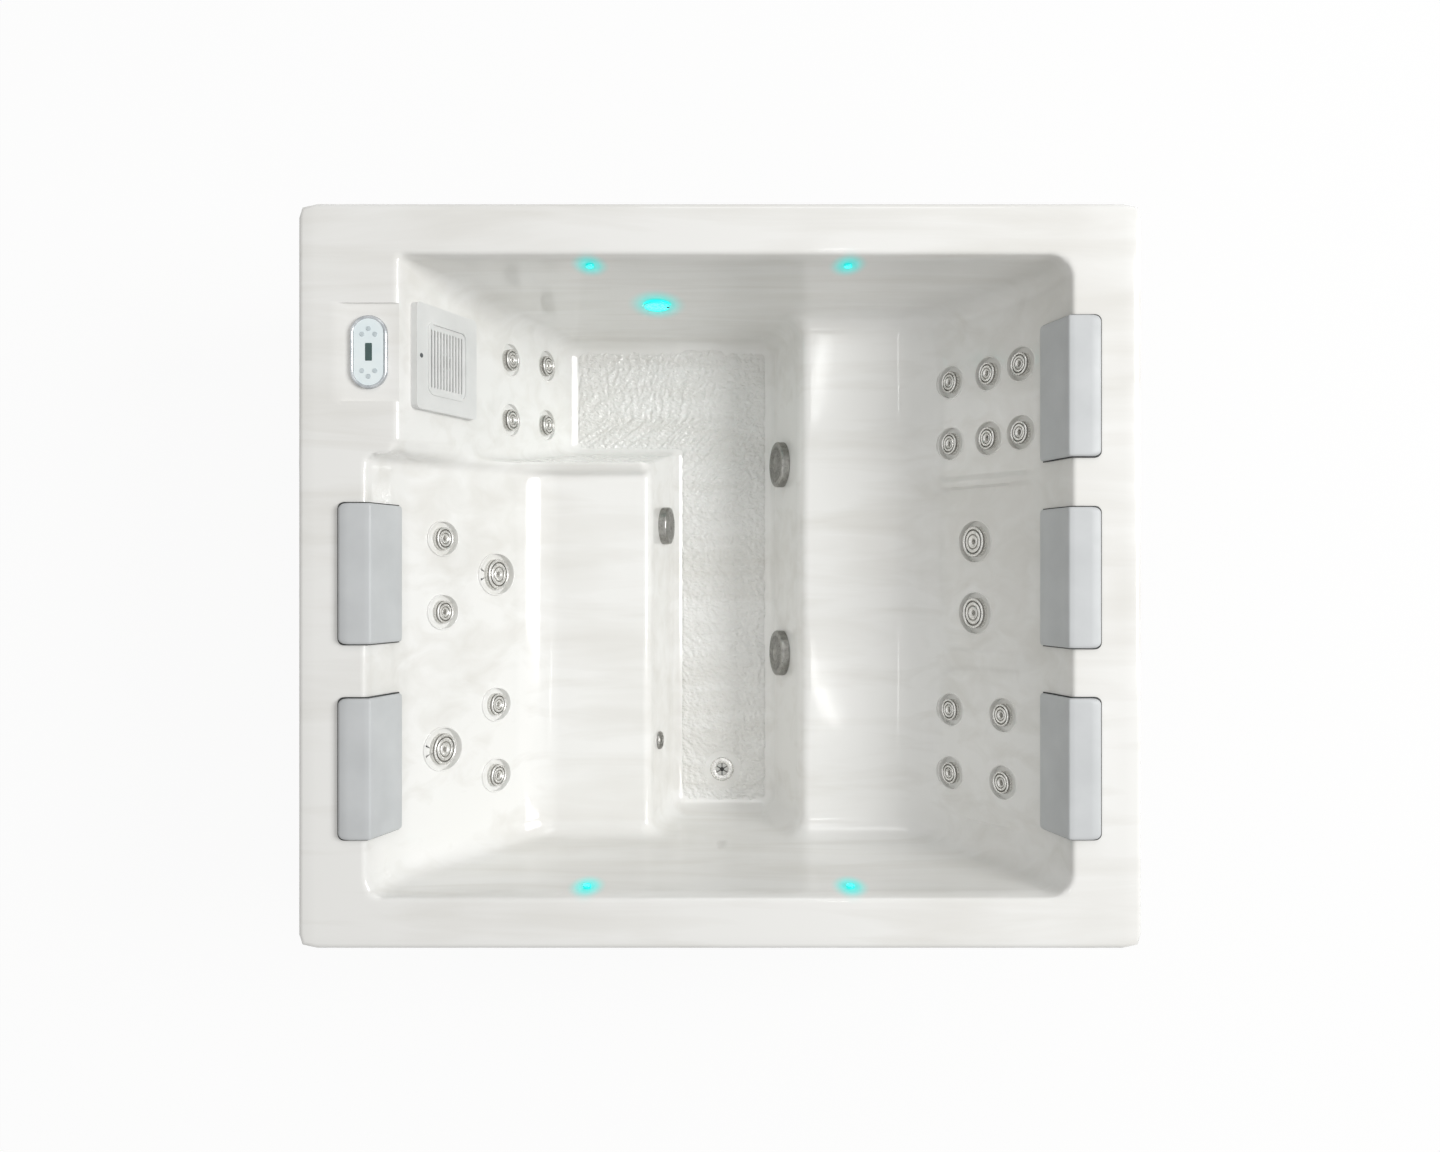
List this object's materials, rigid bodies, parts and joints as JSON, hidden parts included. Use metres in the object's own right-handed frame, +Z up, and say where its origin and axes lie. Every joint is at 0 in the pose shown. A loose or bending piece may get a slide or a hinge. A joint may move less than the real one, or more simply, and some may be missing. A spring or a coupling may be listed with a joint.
{
  "type": "hot tub",
  "caption": "Free-standing rectangular hot tub with facing bench seats, a stepped footwell, jets, headrests, a skimmer, a control panel and a panelled cabinet.",
  "frame": {"origin": "middle of the rectangle that the base covers, on the ground", "axes": "+X along the long side from the left seats to the right seats, +Y from the drain end to the step-in end, +Z up"},
  "size_m": [2.15, 1.9, 0.918],
  "materials": {
    "shell": "glossy pearl acrylic with faint streaks",
    "pan": "moulded black plastic",
    "timber": "sawn treated timber",
    "cabinet": "grained grey-brown board",
    "corner": "satin dark plastic",
    "steel": "brushed stainless steel",
    "chrome": "polished",
    "fitting": "moulded pale plastic",
    "hose": "flexible vinyl hose",
    "lens": "clear lens, lit cyan",
    "grille": "light grey moulded plastic",
    "pleats": "pleated polyester",
    "display": "glossy pale overlay",
    "button": "satin key cap",
    "pad": "smooth grey moulded foam",
    "motor": "dark enamel",
    "pump_plastic": "moulded black plastic",
    "pipe": "white pipe",
    "control": "moulded grey plastic",
    "knob": "red handle"
  },
  "bodies": {
    "tub": {"tub_shell": "shell", "base_pan": "pan", "support_frame": "timber", "panel_right": "cabinet", "panel_front": "cabinet", "panel_rear": "cabinet", "corner_covers": "corner", "jet_bodies": "fitting", "jet_hoses": "hose", "suction_covers": "chrome", "return_fitting": "chrome", "floor_drain": "steel", "lights": "lens", "skimmer_housing": "fitting", "control_bezel": "chrome", "display_panel": "display", "pump_wet_end": "pump_plastic", "pump_motor": "motor", "heater_tube": "steel", "control_box": "control", "pipework": "pipe", "drain_valve": "pipe"},
    "jet_left_1": {"jet_left_1": "steel"},
    "jet_left_2": {"jet_left_2": "steel"},
    "jet_left_3": {"jet_left_3": "steel"},
    "jet_left_4": {"jet_left_4": "steel"},
    "jet_left_5": {"jet_left_5": "steel"},
    "jet_left_6": {"jet_left_6": "steel"},
    "jet_entry_1": {"jet_entry_1": "steel"},
    "jet_entry_2": {"jet_entry_2": "steel"},
    "jet_entry_3": {"jet_entry_3": "steel"},
    "jet_entry_4": {"jet_entry_4": "steel"},
    "jet_right_1": {"jet_right_1": "steel"},
    "jet_right_2": {"jet_right_2": "steel"},
    "jet_right_3": {"jet_right_3": "steel"},
    "jet_right_4": {"jet_right_4": "steel"},
    "jet_right_5": {"jet_right_5": "steel"},
    "jet_right_6": {"jet_right_6": "steel"},
    "jet_right_7": {"jet_right_7": "steel"},
    "jet_right_8": {"jet_right_8": "steel"},
    "jet_right_9": {"jet_right_9": "steel"},
    "jet_right_10": {"jet_right_10": "steel"},
    "jet_right_11": {"jet_right_11": "steel"},
    "jet_right_12": {"jet_right_12": "steel"},
    "button_1": {"button_1": "button"},
    "button_2": {"button_2": "button"},
    "button_3": {"button_3": "button"},
    "button_4": {"button_4": "button"},
    "button_5": {"button_5": "button"},
    "button_6": {"button_6": "button"},
    "headrest_left_upper": {"headrest_left_upper": "pad"},
    "headrest_left_lower": {"headrest_left_lower": "pad"},
    "headrest_right_upper": {"headrest_right_upper": "pad"},
    "headrest_right_middle": {"headrest_right_middle": "pad"},
    "headrest_right_lower": {"headrest_right_lower": "pad"},
    "filter_unit": {"skimmer_cover": "grille", "filter_cartridge": "pleats"},
    "pump_rotor": {"pump_rotor": "steel"},
    "drain_knob": {"drain_knob": "knob"},
    "service_panel": {"service_panel": "cabinet"}
  },
  "joints": [
    {"name": "jet_left_1_turn", "type": "hinge", "parent": "tub", "child": "jet_left_1", "pos_m": [-0.7603, 0.103, 0.664], "axis": [0.866, 0, 0.5], "range_deg": [0, 90]},
    {"name": "jet_left_2_turn", "type": "hinge", "parent": "tub", "child": "jet_left_2", "pos_m": [-0.7603, -0.099, 0.664], "axis": [0.866, 0, 0.5], "range_deg": [0, 90]},
    {"name": "jet_left_3_turn", "type": "hinge", "parent": "tub", "child": "jet_left_3", "pos_m": [-0.63931, 0.005, 0.53], "axis": [0.866, 0, 0.5], "range_deg": [0, 90]},
    {"name": "jet_left_4_turn", "type": "hinge", "parent": "tub", "child": "jet_left_4", "pos_m": [-0.63931, -0.368, 0.53], "axis": [0.866, 0, 0.5], "range_deg": [0, 90]},
    {"name": "jet_left_5_turn", "type": "hinge", "parent": "tub", "child": "jet_left_5", "pos_m": [-0.7603, -0.476, 0.664], "axis": [0.866, 0, 0.5], "range_deg": [0, 90]},
    {"name": "jet_left_6_turn", "type": "hinge", "parent": "tub", "child": "jet_left_6", "pos_m": [-0.63931, -0.571, 0.53], "axis": [0.866, 0, 0.5], "range_deg": [0, 90]},
    {"name": "jet_entry_1_turn", "type": "hinge", "parent": "tub", "child": "jet_entry_1", "pos_m": [-0.61757, 0.638, 0.431], "axis": [0.9188, 0, 0.3946], "range_deg": [0, 90]},
    {"name": "jet_entry_2_turn", "type": "hinge", "parent": "tub", "child": "jet_entry_2", "pos_m": [-0.53897, 0.654, 0.248], "axis": [0.9188, 0, 0.3946], "range_deg": [0, 90]},
    {"name": "jet_entry_3_turn", "type": "hinge", "parent": "tub", "child": "jet_entry_3", "pos_m": [-0.61757, 0.461, 0.431], "axis": [0.9188, 0, 0.3946], "range_deg": [0, 90]},
    {"name": "jet_entry_4_turn", "type": "hinge", "parent": "tub", "child": "jet_entry_4", "pos_m": [-0.53897, 0.47, 0.248], "axis": [0.9188, 0, 0.3946], "range_deg": [0, 90]},
    {"name": "jet_right_1_turn", "type": "hinge", "parent": "tub", "child": "jet_right_1", "pos_m": [0.81576, 0.576, 0.705], "axis": [-0.8829, 0, 0.4695], "range_deg": [0, 90]},
    {"name": "jet_right_2_turn", "type": "hinge", "parent": "tub", "child": "jet_right_2", "pos_m": [0.74959, 0.566, 0.612], "axis": [-0.8829, 0, 0.4695], "range_deg": [0, 90]},
    {"name": "jet_right_3_turn", "type": "hinge", "parent": "tub", "child": "jet_right_3", "pos_m": [0.66778, 0.561, 0.497], "axis": [-0.8829, 0, 0.4695], "range_deg": [0, 90]},
    {"name": "jet_right_4_turn", "type": "hinge", "parent": "tub", "child": "jet_right_4", "pos_m": [0.81576, 0.39, 0.705], "axis": [-0.8829, 0, 0.4695], "range_deg": [0, 90]},
    {"name": "jet_right_5_turn", "type": "hinge", "parent": "tub", "child": "jet_right_5", "pos_m": [0.74959, 0.385, 0.612], "axis": [-0.8829, 0, 0.4695], "range_deg": [0, 90]},
    {"name": "jet_right_6_turn", "type": "hinge", "parent": "tub", "child": "jet_right_6", "pos_m": [0.66778, 0.383, 0.497], "axis": [-0.8829, 0, 0.4695], "range_deg": [0, 90]},
    {"name": "jet_right_7_turn", "type": "hinge", "parent": "tub", "child": "jet_right_7", "pos_m": [0.72114, 0.097, 0.572], "axis": [-0.8829, 0, 0.4695], "range_deg": [0, 90]},
    {"name": "jet_right_8_turn", "type": "hinge", "parent": "tub", "child": "jet_right_8", "pos_m": [0.72114, -0.105, 0.572], "axis": [-0.8829, 0, 0.4695], "range_deg": [0, 90]},
    {"name": "jet_right_9_turn", "type": "hinge", "parent": "tub", "child": "jet_right_9", "pos_m": [0.77947, -0.384, 0.654], "axis": [-0.8829, 0, 0.4695], "range_deg": [0, 90]},
    {"name": "jet_right_10_turn", "type": "hinge", "parent": "tub", "child": "jet_right_10", "pos_m": [0.66778, -0.387, 0.497], "axis": [-0.8829, 0, 0.4695], "range_deg": [0, 90]},
    {"name": "jet_right_11_turn", "type": "hinge", "parent": "tub", "child": "jet_right_11", "pos_m": [0.77947, -0.57, 0.654], "axis": [-0.8829, 0, 0.4695], "range_deg": [0, 90]},
    {"name": "jet_right_12_turn", "type": "hinge", "parent": "tub", "child": "jet_right_12", "pos_m": [0.66778, -0.57, 0.497], "axis": [-0.8829, 0, 0.4695], "range_deg": [0, 90]},
    {"name": "button_1_press", "type": "slide", "parent": "tub", "child": "button_1", "axis": [0, 0, -1], "range_m": [0, 0.001], "stiffness_N_per_m": 300, "springref_m": -0.001},
    {"name": "button_2_press", "type": "slide", "parent": "tub", "child": "button_2", "axis": [0, 0, -1], "range_m": [0, 0.001], "stiffness_N_per_m": 300, "springref_m": -0.001},
    {"name": "button_3_press", "type": "slide", "parent": "tub", "child": "button_3", "axis": [0, 0, -1], "range_m": [0, 0.001], "stiffness_N_per_m": 300, "springref_m": -0.001},
    {"name": "button_4_press", "type": "slide", "parent": "tub", "child": "button_4", "axis": [0, 0, -1], "range_m": [0, 0.001], "stiffness_N_per_m": 300, "springref_m": -0.001},
    {"name": "button_5_press", "type": "slide", "parent": "tub", "child": "button_5", "axis": [0, 0, -1], "range_m": [0, 0.001], "stiffness_N_per_m": 300, "springref_m": -0.001},
    {"name": "button_6_press", "type": "slide", "parent": "tub", "child": "button_6", "axis": [0, 0, -1], "range_m": [0, 0.001], "stiffness_N_per_m": 300, "springref_m": -0.001},
    {"name": "headrest_left_upper_lift", "type": "slide", "parent": "tub", "child": "headrest_left_upper", "axis": [0, 0, 1], "range_m": [0, 0.08]},
    {"name": "headrest_left_lower_lift", "type": "slide", "parent": "tub", "child": "headrest_left_lower", "axis": [0, 0, 1], "range_m": [0, 0.08]},
    {"name": "headrest_right_upper_lift", "type": "slide", "parent": "tub", "child": "headrest_right_upper", "axis": [0, 0, 1], "range_m": [0, 0.08]},
    {"name": "headrest_right_middle_lift", "type": "slide", "parent": "tub", "child": "headrest_right_middle", "axis": [0, 0, 1], "range_m": [0, 0.08]},
    {"name": "headrest_right_lower_lift", "type": "slide", "parent": "tub", "child": "headrest_right_lower", "axis": [0, 0, 1], "range_m": [0, 0.08]},
    {"name": "filter_pull", "type": "slide", "parent": "tub", "child": "filter_unit", "axis": [0.9188, 0, 0.3946], "range_m": [0, 0.26]},
    {"name": "pump_spin", "type": "hinge", "parent": "tub", "child": "pump_rotor", "pos_m": [-0.65, -0.2, 0.15], "axis": [0, 1, 0], "continuous": true},
    {"name": "drain_turn", "type": "hinge", "parent": "tub", "child": "drain_knob", "pos_m": [-0.98, -0.655, 0.12], "axis": [0, 0, 1], "range_deg": [0, 90]},
    {"name": "service_panel_off", "type": "slide", "parent": "tub", "child": "service_panel", "axis": [-1, 0, 0], "range_m": [0, 0.3]}
  ]
}
